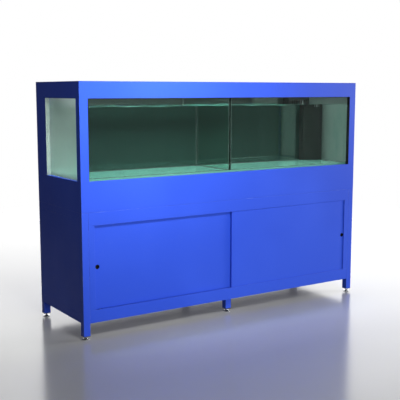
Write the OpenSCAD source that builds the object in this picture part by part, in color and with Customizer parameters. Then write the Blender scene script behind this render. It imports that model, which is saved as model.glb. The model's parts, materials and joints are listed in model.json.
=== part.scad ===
// Aquarium on a stand: a two-compartment glass tank in a painted steel casing,
// on a square-tube stand whose two front doors slide past each other.
// Millimetres, +Z up. The origin is on the floor at the middle of the footprint.
// The front faces -Y, and left and right are as seen from the front.

/* [Overall] */
// Width over the casing
width = 2000; // [1600:10:2400]
// Depth over the casing
depth = 600; // [500:10:760]
// Floor to the seam between stand and casing
stand_h = 708; // [590:1:850]
// Height of the casing above that seam
casing_h = 707; // [590:1:850]

/* [Stand] */
// Side of the square frame tube
tube = 40; // [36:1:50]
// Wall of every steel tube
tube_wall = 2; // [1.5:0.5:3]
// Floor to the underside of the leg tubes
foot_h = 22; // [18:1:40]
// Floor to the underside of the bottom rails
skirt_z = 92; // [80:1:140]
// Height of the bottom rails
bottom_rail_h = 50; // [44:1:60]
// Height of the front top rail
top_rail_h = 48; // [42:1:56]
// Painted border above and below the doors
border_h = 72; // [66:1:90]
// Painted border beside each door
border_w = 75; // [64:1:100]
// Steel sheet of the casing, the lips and the jambs
sheet = 3; // [2:0.5:4]
// Steel sheet of the stand's side and rear panels
panel_t = 2; // [1:0.5:3]
// How far the rear panel sits in from the back
rear_inset = 6; // [5:1:12]
// Thickness of the cabinet's floor board
shelf_t = 12; // [9:1:18]

/* [Sliding doors] */
// Front face of the front door behind the front of the stand
door_recess = 7; // [5.5:0.5:9]
// Gap between the two doors
door_gap = 3; // [2.5:0.5:4]
// Gap between the rear door and the middle leg
door_back_gap = 2; // [1.5:0.5:3]
// How far each door runs in behind the border, above and below
door_hide = 12; // [11:1:14]
// Width by which the closed doors overlap
door_overlap = 40; // [20:1:80]
// Gap between a closed door and its jamb
door_end_gap = 4; // [2:1:8]
// Steel skin of the doors
door_skin = 1.5; // [1:0.5:2]
// Left door's edge to the centre of its finger pull
left_pull_inset = 53; // [45:1:80]
// Right door's edge to the centre of its finger pull
right_pull_inset = 40; // [40:1:80]
// Inside radius of the finger pulls
pull_r = 10; // [8:0.5:12]
// Radius of the track rollers
roller_r = 8; // [7.5:0.5:9]
// Radius of the roller axles
axle_r = 2; // [1.5:0.25:2.5]
// Door edge to the centre of its rollers
roller_inset = 90; // [60:1:150]

/* [Levelling feet] */
// Radius of the foot disc
foot_r = 20; // [14:1:20]
// Radius of the foot's threaded stud
stud_r = 6; // [5:0.5:8]
// Height of the plug in the end of each leg
plug_h = 20; // [12:1:30]

/* [Casing windows] */
// Seam to the lower edge of the windows
window_sill = 169; // [150:1:200]
// Upper edge of the windows to the top of the casing
window_head = 91; // [80:1:120]
// Side of the front window to the side of the casing
front_margin = 49; // [40:1:80]
// Front edge of the side windows behind the front
side_margin = 46; // [40:1:80]
// Back edge of the side windows in front of the back
side_back_margin = 135; // [110:1:180]
// Depth of the folded edge round each window
reveal = 20; // [14:1:24]
// Thickness of the window gaskets
gasket_t = 2; // [1.5:0.5:3]

/* [Tank] */
// Thickness of the glass panes
glass = 12; // [8:1:15]
// Top of the tank's floor above the lower edge of the windows
floor_rise = 9; // [4:1:16]
// Tank's rim below the top of the casing
rim_drop = 49; // [46:1:60]
// Thickness of the board under the tank
board_t = 18; // [12:1:24]
// Thickness of the foam mat under the tank
foam_t = 6; // [4:1:10]
// Width of the glass brace strips
brace_w = 50; // [30:1:60]
// Thickness of the brace strips
brace_t = 10; // [6:1:12]
// Width of the silicone beads
bead = 5; // [3:1:6]
// Water level below the upper edge of the windows
water_drop = 49; // [30:1:80]

/* [Overflow and pipework] */
// Width of the corner overflow
overflow_w = 123; // [118:1:150]
// Depth of the overflow at the end of the tank
overflow_d = 138; // [132:1:170]
// Depth of the overflow at its inner side
overflow_side_d = 58; // [50:1:80]
// Wall of the overflow
overflow_wall = 6; // [4:1:8]
// Outside radius of the drain pipe
drain_r = 20; // [16:1:21]
// Outside radius of the return pipe
return_r = 12.5; // [10:0.5:13]
// Wall of the pipes
pipe_wall = 3; // [2:0.5:3]
// Clearance round a pipe in a hole
pipe_gap = 0.5; // [0.3:0.1:1]

/* [Filter sump] */
// Length of the sump
sump_l = 615; // [560:1:640]
// Width of the sump
sump_w = 375; // [320:1:400]
// Height of the sump
sump_h = 320; // [260:1:330]
// Wall of the sump
sump_wall = 8; // [6:1:10]

/* [Lids] */
// Border of the top frame
top_border = 50; // [44:1:60]
// Thickness of the lid glass
lid_glass = 6; // [5:1:8]
// Width of the ledge that the lids rest on
ledge_w = 12; // [10:1:15]
// Lid hinge line behind the middle of the depth
hinge_y = 60; // [20:1:80]
// Radius of the hinge knuckles
knuckle_r = 4; // [3.5:0.25:4.5]
// Radius of the hinge pins
hinge_pin_r = 1.8; // [1.5:0.1:2]

/* [Hidden] */
$fn = 48;
fit = 0.05;
gap = 0.5;
// Places of the outside faces
xl = -width / 2;
xr = width / 2;
yf = -depth / 2;
yb = depth / 2;
top_z = stand_h + casing_h;
// Stand
frame_x = xr - tube;
rail_z = skirt_z + bottom_rail_h;
deck_z = stand_h - tube;
lip_z0 = skirt_z + border_h;
lip_z1 = stand_h - border_h;
shelf_z = rail_z + shelf_t;
jamb_x = frame_x - sheet;
cross_x = [-width / 4, 0, width / 4];
shelf_gap = 1;
// Doors: [front face, back face, lane] for the front door and for the rear one
door_t = (tube - door_recess - door_gap - door_back_gap) / 2;
front_door_y = yf + door_recess;
rear_door_y = front_door_y + door_t + door_gap;
lane_offset = (door_t + door_skin) / 2;
door_z0 = lip_z0 - door_hide;
door_z1 = lip_z1 + door_hide;
door_mid_z = (lip_z0 + lip_z1) / 2;
right_door_x = [0, jamb_x - door_end_gap];
left_door_x = [-right_door_x[1], right_door_x[0] + door_overlap];
left_pull_x = left_door_x[0] + left_pull_inset;
right_pull_x = right_door_x[1] - right_pull_inset;
pull_wall = 1;
pull_depth = door_t - 3;
pull_flange_r = pull_r + 2.5;
pull_flange_t = 0.8;
// The doors stop while the left pull is still clear of the right door
door_travel = right_door_x[0] - pull_flange_r - 2.5 - left_pull_x;
track_base = 3;
rib_top = door_z0 - 2;
rib_t = 2;
groove = 2;
roller_lift = 0.3;
roller_z = rib_top + roller_lift + roller_r - groove;
roller_w = 8;
slot_w = roller_w + 2 * gap;
stop_l = 12;
fin_gap = 0.6;
// Tank
window_z0 = stand_h + window_sill;
window_z1 = top_z - window_head;
front_window_x = xr - front_margin;
side_window_y0 = yf + side_margin;
side_window_y1 = yb - side_back_margin;
wall_in = sheet + reveal + gasket_t;
tank_x = xr - wall_in;
tank_y = yb - wall_in;
in_x = tank_x - glass;
in_y = tank_y - glass;
floor_z = window_z0 + floor_rise;
pane_z = floor_z - glass;
foam_z = pane_z - foam_t;
board_z = foam_z - board_t;
rim_z = top_z - rim_drop;
water_z = window_z1 - water_drop;
brace_z = rim_z - 16;
half_glass = glass / 2;
bearer_in = 8;
bearer_end = 5;
film_t = 0.5;
// Overflow, its drain and its return pipe
nut_r = drain_r + 8;
flange_r = drain_r + 10;
drain_flange = 6;
weir_x0 = in_x - overflow_w;
weir_slope = (overflow_d - overflow_side_d) / overflow_w;
lean = overflow_wall * sqrt(1 + weir_slope * weir_slope);
drain_x = weir_x0 + overflow_wall + flange_r + 4;
drain_y = yb - bearer_in - tube - nut_r - 2;
drain_top = water_z - 45;
// The slanted wall stands clear of the drain's flange
flange_reach = flange_r * lean / overflow_wall + lean - (drain_x - weir_x0) * weir_slope;
weir_y0 = min(in_y - overflow_side_d, drain_y - flange_reach);
weir_y1 = weir_y0 - overflow_w * weir_slope;
weir_z = brace_z - 10;
weir_step = 14;
weir_slot = 6;
return_x = xr - bearer_end - tube - return_r - 7.5;
return_y = in_y - 85;
spray_y = in_y - 23;
spray_z = rim_z + return_r;
spray_holes = 10;
// Cabinet
sump_x1 = jamb_x - 22;
sump_x0 = sump_x1 - sump_l;
sump_y1 = yb - 45;
sump_y0 = sump_y1 - sump_w;
sump_z1 = shelf_z + sump_h;
baffle_x = [sump_x0 + 240, sump_x0 + 440];
baffle_t = 6;
baffle_h = 226;
pump_x = sump_x0 + 120;
pump_z = shelf_z + sump_wall + 53;
pump_top = pump_z + 55;
run_z = sump_z1 + 26;
valve_z = run_z + 120;
valve_r = drain_r + 10;
lever_l = 95;
grommet_x = xl + 300;
grommet_z = door_mid_z + 160;
grommet_r = 18;
rear_panel_y = yb - rear_inset - panel_t;
// Lids
open_x = xr - top_border;
open_y = yb - top_border;
mid_bar = 25;
lid_z = top_z - sheet - 16;
lid_top = lid_z + lid_glass;
lid_gap = 1;
hinge_z = lid_top + knuckle_r;
clip = 2;
channel_d = 18;
knuckles = 7;
lid_x0 = mid_bar + lid_gap;
lid_x1 = open_x - lid_gap;
hinge_x0 = mid_bar + ledge_w + 2;
hinge_x1 = open_x - ledge_w - 2;
knuckle_step = (hinge_x1 - hinge_x0) / knuckles;

paint = "royalblue";
dark_paint = "midnightblue";
steel = "silver";
clear = "paleturquoise";
black = "dimgray";
pvc = "lightgray";

// ---- Shared shapes ----

// A block between two opposite corners
module block(lo, hi) {
  translate(lo) cube(hi - lo);
}

// A rectangular tube between two corners, open along one axis (0 X, 1 Y, 2 Z)
module box_tube(lo, hi, axis) {
  inset = [for (i = [0:2]) i == axis ? -1 : tube_wall];
  difference() {
    block(lo, hi);
    block(lo + inset, hi - inset);
  }
}

// A rod of radius r from a start point along an axis (0 X, 1 Y, 2 Z)
module rod(start, length, r, axis) {
  turn = [[0, 90, 0], [-90, 0, 0], [0, 0, 0]];
  translate(start) rotate(turn[axis]) cylinder(h = length, r = r);
}

// A flat ring, standing in the XZ plane or in the YZ plane, round a window
module window_ring(a0, a1, z0, z1, border, from, to, side = false) {
  lo = side ? [from, a0, z0] : [a0, from, z0];
  hi = side ? [to, a1, z1] : [a1, to, z1];
  grow = side ? [0, border, border] : [border, 0, border];
  past = side ? [1, 0, 0] : [0, 1, 0];
  difference() {
    block(lo - grow, hi + grow);
    block(lo - past, hi + past);
  }
}

// A copy as it is and a copy mirrored left to right
module both_sides() {
  children();
  mirror([1, 0, 0]) children();
}

// ---- Stand ----

module corner_legs() {
  color(paint)
  for (x = [xl, xr - tube], y = [yf, yb - tube])
    box_tube([x, y, foot_h], [x + tube, y + tube, stand_h], 2);
}

// The middle legs stand just behind the rails, so the doors pass in front
module mid_legs() {
  color(paint)
  for (y = [yf + tube, yb - 2 * tube])
    box_tube([-tube / 2, y, foot_h], [tube / 2, y + tube, deck_z], 2);
}

module front_bottom_rail() {
  color(paint) {
    box_tube([-frame_x, yf, skirt_z], [frame_x, yf + tube, rail_z], 0);
    block([-frame_x, yf, rail_z], [frame_x, yf + sheet, lip_z0]);
  }
}

module front_top_rail() {
  under = stand_h - top_rail_h;
  color(paint) {
    box_tube([-frame_x, yf, under], [frame_x, yf + tube, stand_h], 0);
    block([-frame_x, yf, lip_z1], [frame_x, yf + sheet, under]);
  }
}

module door_jambs() {
  color(paint)
  both_sides() {
    block([-frame_x, yf, lip_z0], [xl + border_w, yf + sheet, lip_z1]);
    block([-frame_x, yf + sheet, rail_z], [-jamb_x, yf + tube, stand_h - top_rail_h]);
  }
}

module stand_rails() {
  color(paint) {
    box_tube([-frame_x, yb - tube, skirt_z], [frame_x, yb, rail_z], 0);
    box_tube([-frame_x, yb - tube, deck_z], [frame_x, yb, stand_h], 0);
    for (x = [xl, frame_x]) {
      box_tube([x, yf + tube, skirt_z], [x + tube, yb - tube, rail_z], 1);
      box_tube([x, yf + tube, deck_z], [x + tube, yb - tube, stand_h], 1);
    }
    for (x = cross_x) {
      leg_room = x == 0 ? 2 * tube : tube;
      box_tube([x - tube / 2, yf + tube, deck_z], [x + tube / 2, yb - tube, stand_h], 1);
      box_tube([x - tube / 2, yf + leg_room, rail_z - tube],
               [x + tube / 2, yb - leg_room, rail_z], 1);
    }
  }
}

module side_panels() {
  color(dark_paint)
  both_sides()
    block([xl, yf + tube, rail_z], [xl + panel_t, yb - tube, deck_z]);
}

module rear_panel() {
  vents = 8;
  vent_pitch = 24;
  color(paint)
  difference() {
    block([-frame_x, rear_panel_y, rail_z], [frame_x, rear_panel_y + panel_t, deck_z]);
    rod([grommet_x, rear_panel_y - 1, grommet_z], panel_t + 2, grommet_r + 3, 1);
    for (side = [-1, 1], i = [0:vents - 1])
      block([side * width / 4 - 60, rear_panel_y - 1, lip_z0 + 60 + i * vent_pitch],
            [side * width / 4 + 60, rear_panel_y + panel_t + 1, lip_z0 + 68 + i * vent_pitch]);
  }
}

module base_shelf() {
  half = tube / 2 + shelf_gap;
  edge_y = tube + shelf_gap;
  color(pvc)
  difference() {
    block([xl + panel_t + shelf_gap, yf + edge_y, rail_z],
          [xr - panel_t - shelf_gap, yb - edge_y, shelf_z]);
    block([-half, yf, rail_z - 1], [half, yf + 2 * tube + shelf_gap, shelf_z + 1]);
    block([-half, yb - 2 * tube - shelf_gap, rail_z - 1], [half, yb, shelf_z + 1]);
  }
}

// ---- Door tracks ----

// A plate with one rib for each door's rollers and a stop at the end of each lane
module lower_track() {
  base_top = rail_z + track_base;
  stop_x = left_door_x[1] + door_travel + gap;
  color(steel) {
    block([-jamb_x, yf + sheet, rail_z], [jamb_x, yf + tube - 1, base_top]);
    for (y = [front_door_y, rear_door_y])
      block([-jamb_x, y + lane_offset - rib_t / 2, base_top],
            [jamb_x, y + lane_offset + rib_t / 2, rib_top]);
    block([stop_x, rear_door_y + gap, base_top],
          [stop_x + stop_l, rear_door_y + door_t - gap, rib_top + 12]);
    block([right_door_x[0] - door_travel - gap - stop_l, front_door_y + gap, base_top],
          [right_door_x[0] - door_travel - gap, front_door_y + door_t - gap, rib_top + 12]);
  }
}

// A plate with three fins that guide the doors' top edges
module upper_track() {
  under = stand_h - top_rail_h;
  fin_z = door_z1 - 6;
  color(steel) {
    block([-jamb_x, yf + sheet, under - track_base], [jamb_x, yf + tube, under]);
    block([-jamb_x, yf + sheet, fin_z], [jamb_x, front_door_y - fin_gap, under - track_base]);
    block([-jamb_x, front_door_y + door_t + fin_gap, fin_z],
          [jamb_x, rear_door_y - fin_gap, under - track_base]);
    block([-jamb_x, rear_door_y + door_t + fin_gap, fin_z],
          [jamb_x, yf + tube, under - track_base]);
  }
}

// ---- Doors ----

function roller_places(span) = [span[0] + roller_inset, span[1] - roller_inset];

// A folded steel pan, open at the back
module door_pan(span, y, pull_x) {
  skin = [door_skin, door_skin, door_skin];
  color(paint)
  difference() {
    block([span[0], y, door_z0], [span[1], y + door_t, door_z1]);
    block([span[0], y, door_z0] + skin, [span[1], y + door_t + 10, door_z1] - skin);
    rod([pull_x, y - 1, door_mid_z], door_skin + 2, pull_r + pull_wall, 1);
    for (x = roller_places(span))
      block([x - roller_r - 1, y + lane_offset - slot_w / 2, door_z0 - 1],
            [x + roller_r + 1, y + lane_offset + slot_w / 2, door_z0 + door_skin + 1]);
  }
}

module left_door() {
  door_pan(left_door_x, rear_door_y, left_pull_x);
}

module right_door() {
  door_pan(right_door_x, front_door_y, right_pull_x);
}

// A round dished cup with a thin flange on the door's face
module finger_pull(x, y) {
  color(black)
  translate([x, y, door_mid_z]) rotate([-90, 0, 0])
  difference() {
    union() {
      translate([0, 0, -pull_flange_t]) cylinder(h = pull_flange_t, r = pull_flange_r);
      cylinder(h = pull_depth + pull_wall, r = pull_r + pull_wall);
    }
    translate([0, 0, -pull_flange_t - 1]) cylinder(h = pull_depth + pull_flange_t + 1, r = pull_r);
  }
}

module left_finger_pull() {
  finger_pull(left_pull_x, rear_door_y);
}

module right_finger_pull() {
  finger_pull(right_pull_x, front_door_y);
}

// Blocks in the foot of a door, each slotted for a roller, with its axle across the slot
module door_brackets(span, y) {
  half = roller_r + 4;
  lane = y + lane_offset;
  color(steel)
  for (x = roller_places(span)) {
    difference() {
      block([x - half, y + door_skin, door_z0 + door_skin],
            [x + half, y + door_t, roller_z + roller_r + 4]);
      block([x - roller_r - 1, lane - slot_w / 2, door_z0],
            [x + roller_r + 1, lane + slot_w / 2, roller_z + roller_r + 1]);
    }
    rod([x, y + door_skin, roller_z], door_t - door_skin, axle_r, 1);
  }
}

module left_door_brackets() {
  door_brackets(left_door_x, rear_door_y);
}

module right_door_brackets() {
  door_brackets(right_door_x, front_door_y);
}

// A grooved roller whose groove runs on the track's rib
module door_roller(x, y) {
  half = roller_w / 2;
  half_groove = rib_t / 2 + gap;
  bore = axle_r + fit;
  color(black)
  translate([x, y + lane_offset, roller_z]) rotate([90, 0, 0])
  rotate_extrude()
    polygon([[bore, -half], [roller_r, -half], [roller_r, -half_groove],
             [roller_r - groove, -half_groove], [roller_r - groove, half_groove],
             [roller_r, half_groove], [roller_r, half], [bore, half]]);
}

module left_door_roller_a() {
  door_roller(roller_places(left_door_x)[0], rear_door_y);
}

module left_door_roller_b() {
  door_roller(roller_places(left_door_x)[1], rear_door_y);
}

module right_door_roller_a() {
  door_roller(roller_places(right_door_x)[0], front_door_y);
}

module right_door_roller_b() {
  door_roller(roller_places(right_door_x)[1], front_door_y);
}

// ---- Levelling feet ----

foot_x = [xl + tube / 2, 0, xr - tube / 2];
foot_corner_y = yb - tube / 2;
foot_mid_y = yb - 3 * tube / 2;
plug_flange = 2;

// A disc, a domed shoulder, a lock nut and a plain stud that stands for the thread
module foot(x, y) {
  stud = stud_r - fit;
  nut_z = foot_h - plug_flange - gap;
  color(steel)
  translate([x, y, 0]) {
    rotate_extrude()
      polygon([[0, 0], [foot_r - 1, 0], [foot_r, 1], [foot_r, 4], [foot_r - 2, 6],
               [stud_r + 4, 9], [stud, 9], [stud, foot_h + plug_h + 10], [0, foot_h + plug_h + 10]]);
    translate([0, 0, nut_z - 6]) cylinder(h = 6, r = stud_r + 5, $fn = 6);
  }
}

module foot_front_left() {
  foot(foot_x[0], -foot_corner_y);
}

module foot_front_mid() {
  foot(foot_x[1], -foot_mid_y);
}

module foot_front_right() {
  foot(foot_x[2], -foot_corner_y);
}

module foot_rear_left() {
  foot(foot_x[0], foot_corner_y);
}

module foot_rear_mid() {
  foot(foot_x[1], foot_mid_y);
}

module foot_rear_right() {
  foot(foot_x[2], foot_corner_y);
}

// A plug in the end of each leg, bored for the foot's stud
module leg_plugs() {
  half = tube / 2;
  half_in = half - tube_wall;
  color(black)
  for (x = foot_x, side = [-1, 1]) {
    y = side * (x == 0 ? foot_mid_y : foot_corner_y);
    difference() {
      union() {
        block([x - half, y - half, foot_h - plug_flange], [x + half, y + half, foot_h]);
        block([x - half_in, y - half_in, foot_h], [x + half_in, y + half_in, foot_h + plug_h]);
      }
      rod([x, y, 0], foot_h + plug_h + 1, stud_r, 2);
    }
  }
}

// ---- Casing ----

module front_casing() {
  color(paint) {
    difference() {
      block([xl, yf, stand_h], [xr, yf + sheet, top_z - sheet]);
      block([-front_window_x, yf - 1, window_z0], [front_window_x, yf + sheet + 1, window_z1]);
    }
    window_ring(-front_window_x, front_window_x, window_z0, window_z1, sheet,
                yf + sheet, yf + sheet + reveal);
  }
}

module end_casing() {
  difference() {
    block([xl, yf + sheet, stand_h], [xl + sheet, yb - sheet, top_z - sheet]);
    block([xl - 1, side_window_y0, window_z0], [xl + sheet + 1, side_window_y1, window_z1]);
  }
  window_ring(side_window_y0, side_window_y1, window_z0, window_z1, sheet,
              xl + sheet, xl + sheet + reveal, side = true);
}

module left_casing() {
  color(dark_paint) end_casing();
}

module right_casing() {
  color(dark_paint) mirror([1, 0, 0]) end_casing();
}

module rear_casing() {
  color(paint) block([xl, yb - sheet, stand_h], [xr, yb, top_z - sheet]);
}

// One rectangular frame with an opening over each side of the tank
module two_openings(z0, z1, shrink) {
  both_sides()
    block([mid_bar + shrink, -open_y + shrink, z0], [open_x - shrink, open_y - shrink, z1]);
}

// The top border, with a folded web and a ledge round each opening
module top_frame() {
  web = 2;
  color(paint)
  difference() {
    union() {
      block([xl, yf, top_z - sheet], [xr, yb, top_z]);
      block([-open_x - web, -open_y - web, lid_z - web], [open_x + web, open_y + web, top_z - sheet]);
    }
    two_openings(lid_z, top_z + 1, 0);
    two_openings(lid_z - web - 1, lid_z + 1, ledge_w);
    both_sides()
      block([-web, -open_y, lid_z - web - 1], [mid_bar - web, open_y, top_z - sheet]);
  }
}

module tank_bearers() {
  front_y = yf + bearer_in;
  end_x = xl + bearer_end;
  color(steel) {
    for (y = [front_y, -front_y - tube])
      box_tube([end_x, y, stand_h], [-end_x, y + tube, board_z], 0);
    for (x = concat([end_x + tube / 2, -end_x - tube / 2], cross_x))
      box_tube([x - tube / 2, front_y + tube, stand_h],
               [x + tube / 2, -front_y - tube, board_z], 1);
  }
}

// The holes for the drain and the return pipe, through everything under the tank
module pipe_holes(z0, z1) {
  rod([drain_x, drain_y, z0 - 1], z1 - z0 + 2, drain_r + pipe_gap, 2);
  rod([return_x, return_y, z0 - 1], z1 - z0 + 2, return_r + pipe_gap, 2);
}

module tank_board() {
  edge = sheet + 12;
  color("tan")
  difference() {
    block([xl + edge, yf + edge, board_z], [xr - edge, yb - edge, foam_z]);
    pipe_holes(board_z, foam_z);
  }
}

module foam_mat() {
  color("darkgray")
  difference() {
    block([-tank_x, -tank_y, foam_z], [tank_x, tank_y, pane_z]);
    pipe_holes(foam_z, pane_z);
  }
}

// ---- Glass tank ----

module bottom_pane() {
  color(clear)
  difference() {
    block([-in_x, -in_y, pane_z], [in_x, in_y, floor_z]);
    pipe_holes(pane_z, floor_z);
  }
}

module front_pane() {
  color(clear) block([-tank_x, -tank_y, pane_z], [tank_x, -in_y, rim_z]);
}

module rear_pane() {
  color(clear) block([-tank_x, in_y, pane_z], [tank_x, tank_y, rim_z]);
}

module end_panes() {
  color(clear)
  both_sides()
    block([-tank_x, -in_y, pane_z], [-in_x, in_y, rim_z]);
}

module partition_pane() {
  color(clear) block([-half_glass, -in_y, floor_z], [half_glass, in_y, rim_z]);
}

module brace_strips() {
  color(clear)
  both_sides()
    for (y = [-in_y, in_y - brace_w])
      block([-in_x, y, brace_z], [-half_glass, y + brace_w, brace_z + brace_t]);
}

// A three-cornered silicone bead, along X, along Y or upright, leaning to sx or sy
module bead_x(x0, x1, y, side) {
  translate([x0, y, floor_z]) rotate([90, 0, 90])
    linear_extrude(x1 - x0) polygon([[0, 0], [side * bead, 0], [0, bead]]);
}

module bead_y(x, y0, y1, side) {
  translate([x, y1, floor_z]) rotate([90, 0, 0])
    linear_extrude(y1 - y0) polygon([[0, 0], [side * bead, 0], [0, bead]]);
}

module bead_z(x, y, sx, sy) {
  translate([x, y, floor_z])
    linear_extrude(brace_z - floor_z) polygon([[0, 0], [sx * bead, 0], [0, sy * bead]]);
}

module silicone_seams() {
  color("white") {
    bead_x(-in_x, -half_glass, -in_y, 1);
    bead_x(-in_x, -half_glass, in_y, -1);
    bead_x(half_glass, in_x, -in_y, 1);
    bead_x(half_glass, weir_x0, in_y, -1);
    bead_y(-in_x, -in_y, in_y, 1);
    bead_y(-half_glass, -in_y, in_y, -1);
    bead_y(half_glass, -in_y, in_y, 1);
    bead_y(in_x, -in_y, weir_y1, -1);
    for (y = [-in_y, in_y]) {
      sy = -sign(y);
      bead_z(-in_x, y, 1, sy);
      bead_z(-half_glass, y, -1, sy);
      bead_z(half_glass, y, 1, sy);
      bead_z(in_x, y, -1, sy);
    }
  }
}

module rear_film() {
  color("darkslategray")
    block([-tank_x, tank_y, pane_z], [tank_x, tank_y + film_t, rim_z]);
}

module window_gaskets() {
  color(black) {
    window_ring(-front_window_x, front_window_x, window_z0, window_z1, sheet,
                -tank_y - gasket_t, -tank_y);
    both_sides()
      window_ring(side_window_y0, side_window_y1, window_z0, window_z1, sheet,
                  -tank_x - gasket_t, -tank_x, side = true);
  }
}

// ---- Overflow and pipework ----

// Two walls that close off the rear right corner, with a comb of slots at water level
module overflow_weir() {
  turn_x = weir_x0 + overflow_wall;
  slots = floor(overflow_w / weir_step) - 1;
  color(black)
  difference() {
    translate([0, 0, floor_z])
    linear_extrude(weir_z - floor_z)
      polygon([[weir_x0, in_y], [weir_x0, weir_y0], [in_x, weir_y1], [in_x, weir_y1 + lean],
               [turn_x, weir_y0 + lean - overflow_wall * weir_slope], [turn_x, in_y]]);
    for (i = [1:slots])
      translate([weir_x0 + i * weir_step, weir_y0 - i * weir_step * weir_slope, water_z - 22])
      rotate([0, 0, -atan(weir_slope)])
        translate([0, -overflow_wall, 0]) cube([weir_slot, 3 * overflow_wall, 44]);
  }
}

// Upright drain in the overflow, with its flange on the tank floor and a nut under the board
module drain_standpipe() {
  low = board_z - 10;
  color(pvc)
  difference() {
    union() {
      rod([drain_x, drain_y, low], drain_top - low, drain_r, 2);
      rod([drain_x, drain_y, floor_z], drain_flange, flange_r, 2);
      rod([drain_x, drain_y, low], 10, nut_r, 2);
    }
    rod([drain_x, drain_y, low - 1], drain_top - low + 2, drain_r - pipe_wall, 2);
  }
}

// Drain from the tank to the sump, with the body of its ball valve
module drain_pipe() {
  high = board_z - 10;
  low = sump_z1 - 44;
  valve_half = 30;
  color(pvc)
  difference() {
    union() {
      rod([drain_x, drain_y, low], high - low, drain_r, 2);
      rod([drain_x, drain_y, valve_z - valve_half], 2 * valve_half, valve_r, 2);
      rod([drain_x, drain_y - valve_r, valve_z], valve_r, 9, 1);
      rod([drain_x, drain_y - valve_r - 8, valve_z], valve_r, 5, 1);
    }
    rod([drain_x, drain_y, low - 1], high - low + 2, drain_r - pipe_wall, 2);
  }
}

// Lever on the valve's stem, hanging in line with the pipe while the valve is open
module valve_lever() {
  hub_y = drain_y - valve_r - 7.5;
  color("firebrick")
  difference() {
    union() {
      rod([drain_x, hub_y, valve_z], 6, 12, 1);
      block([drain_x - 9, hub_y, valve_z - lever_l], [drain_x + 9, hub_y + 4, valve_z]);
    }
    rod([drain_x, hub_y - 1, valve_z], 8, 5 + fit, 1);
  }
}

// Straight pipes with a round elbow at every corner of a route
module pipe_run(route, r, elbow) {
  for (i = [0:len(route) - 2]) {
    step = route[i + 1] - route[i];
    axis = step[0] != 0 ? 0 : step[1] != 0 ? 1 : 2;
    start = step[axis] > 0 ? route[i] : route[i + 1];
    rod(start, abs(step[axis]), r, axis);
  }
  for (i = [1:len(route) - 2]) translate(route[i]) sphere(r = elbow);
}

// From the pump up through the overflow to a spray bar behind the top frame
module return_pipe() {
  bore = return_r - pipe_wall;
  end_x = -in_x + 60;
  route = [[pump_x, return_y, pump_top], [pump_x, return_y, run_z], [return_x, return_y, run_z],
           [return_x, return_y, spray_z], [return_x, spray_y, spray_z], [end_x, spray_y, spray_z]];
  low = [0, 0, -1];
  inner = concat([route[0] + low], [for (i = [1:4]) route[i]], [route[5] + [pipe_wall, 0, 0]]);
  color(pvc)
  difference() {
    pipe_run(route, return_r, return_r + 2);
    pipe_run(inner, bore, bore);
    both_sides()
      for (i = [0:spray_holes - 1])
        rod([90 + i * (in_x - 240) / (spray_holes - 1), spray_y, spray_z - return_r - 1],
            return_r, 2.5, 2);
  }
}

// An open box with two baffles that divide it into three chambers
module sump_tank() {
  floor_top = shelf_z + sump_wall;
  wall = [sump_wall, sump_wall, 0];
  color("lightsteelblue") {
    difference() {
      block([sump_x0, sump_y0, shelf_z], [sump_x1, sump_y1, sump_z1]);
      block([sump_x0, sump_y0, floor_top] + wall, [sump_x1, sump_y1, sump_z1 + 1] - wall);
    }
    for (x = baffle_x)
      block([x, sump_y0 + sump_wall, floor_top],
            [x + baffle_t, sump_y1 - sump_wall, floor_top + baffle_h]);
  }
}

module filter_sponge() {
  room = 2;
  color("darkseagreen")
    block([baffle_x[0] + baffle_t + room, sump_y0 + sump_wall + room, shelf_z + sump_wall],
          [baffle_x[1] - room, sump_y1 - sump_wall - room, shelf_z + sump_wall + baffle_h - 40]);
}

// A submersible pump: motor, volute, inlet and outlet on a base plate
module return_pump() {
  color(black) {
    block([pump_x - 60, return_y - 45, shelf_z + sump_wall],
          [pump_x + 50, return_y + 45, shelf_z + sump_wall + 8]);
    block([pump_x - 40, return_y - 20, shelf_z + sump_wall], [pump_x + 10, return_y + 20, pump_z]);
    rod([pump_x - 60, return_y, pump_z], 90, 34, 0);
    rod([pump_x - 18, return_y, pump_z], 36, 44, 0);
    rod([pump_x + 18, return_y, pump_z], 24, 20, 0);
    rod([pump_x, return_y, pump_z], pump_top - pump_z, return_r + 2, 2);
  }
}

// ---- Lids ----

// Places of the hinge knuckles along a lid: every other one is fixed
function knuckle_x(i) = hinge_x0 + i * knuckle_step;

module lid_pane(y0, y1) {
  color(clear) block([lid_x0, y0, lid_z], [lid_x1, y1, lid_top]);
}

// A channel that clips over one edge of a pane and carries every other knuckle
module hinge_channel(side, first, pin) {
  web_y = hinge_y + side * (knuckle_r + 2);
  far_y = web_y + side * channel_d;
  glass_y = hinge_y + side * (knuckle_r + 4);
  y0 = min(web_y, far_y);
  y1 = max(web_y, far_y);
  difference() {
    union() {
      block([hinge_x0, y0, lid_z - clip], [hinge_x1, y1, lid_top + clip]);
      for (i = [first:2:knuckles - 1]) {
        x0 = knuckle_x(i) + gap / 2;
        rod([x0, hinge_y, hinge_z], knuckle_step - gap, knuckle_r, 0);
        block([x0, min(hinge_y, web_y), lid_top], [x0 + knuckle_step - gap, max(hinge_y, web_y), hinge_z]);
      }
    }
    block([hinge_x0 - 1, min(glass_y, far_y + side), lid_z],
          [hinge_x1 + 1, max(glass_y, far_y + side), lid_top]);
    if (!pin) rod([hinge_x0 - 1, hinge_y, hinge_z], hinge_x1 - hinge_x0 + 2, hinge_pin_r + fit, 0);
  }
  if (pin) rod([hinge_x0, hinge_y, hinge_z], hinge_x1 - hinge_x0, hinge_pin_r, 0);
}

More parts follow.
